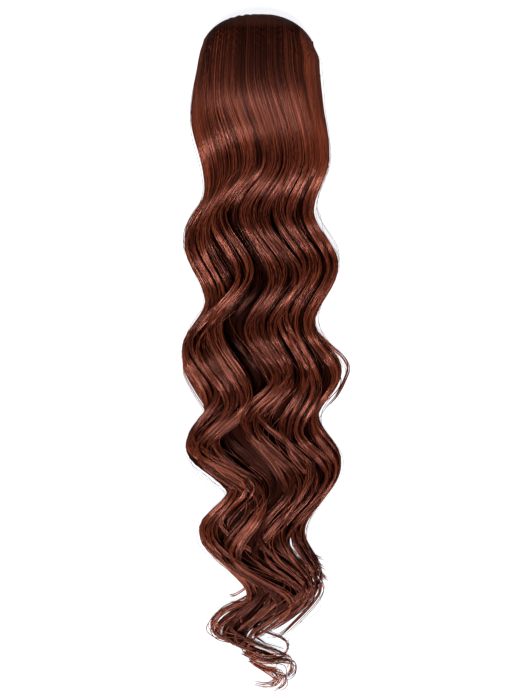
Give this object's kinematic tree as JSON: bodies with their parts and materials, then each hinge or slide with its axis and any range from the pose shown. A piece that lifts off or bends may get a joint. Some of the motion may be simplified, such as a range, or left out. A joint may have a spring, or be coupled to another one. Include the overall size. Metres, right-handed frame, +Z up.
{
  "type": "ponytail hairpiece",
  "caption": "Long wavy ponytail hairpiece lying flat: domed net cap with a comb inside its rim, smooth crown hair and loose waves in parted falls.",
  "frame": {"origin": "middle of the underside of the whole hairpiece, on the surface that it lies on", "axes": "+Z up from that surface, +Y along the hair towards the crown, +X to the right as seen from above"},
  "size_m": [0.1428, 0.5802, 0.0351],
  "materials": {
    "cap_net": "dark brown stretch net with an elastic hem",
    "comb_plastic": "dark brown moulded plastic",
    "auburn_hair": "auburn wavy synthetic hair with a soft satin shine"
  },
  "bodies": {
    "root": {"cap": "cap_net", "comb": "comb_plastic", "crown_hair": "auburn_hair", "left_fall": "auburn_hair", "middle_fall": "auburn_hair", "right_fall": "auburn_hair"}
  },
  "joints": []
}
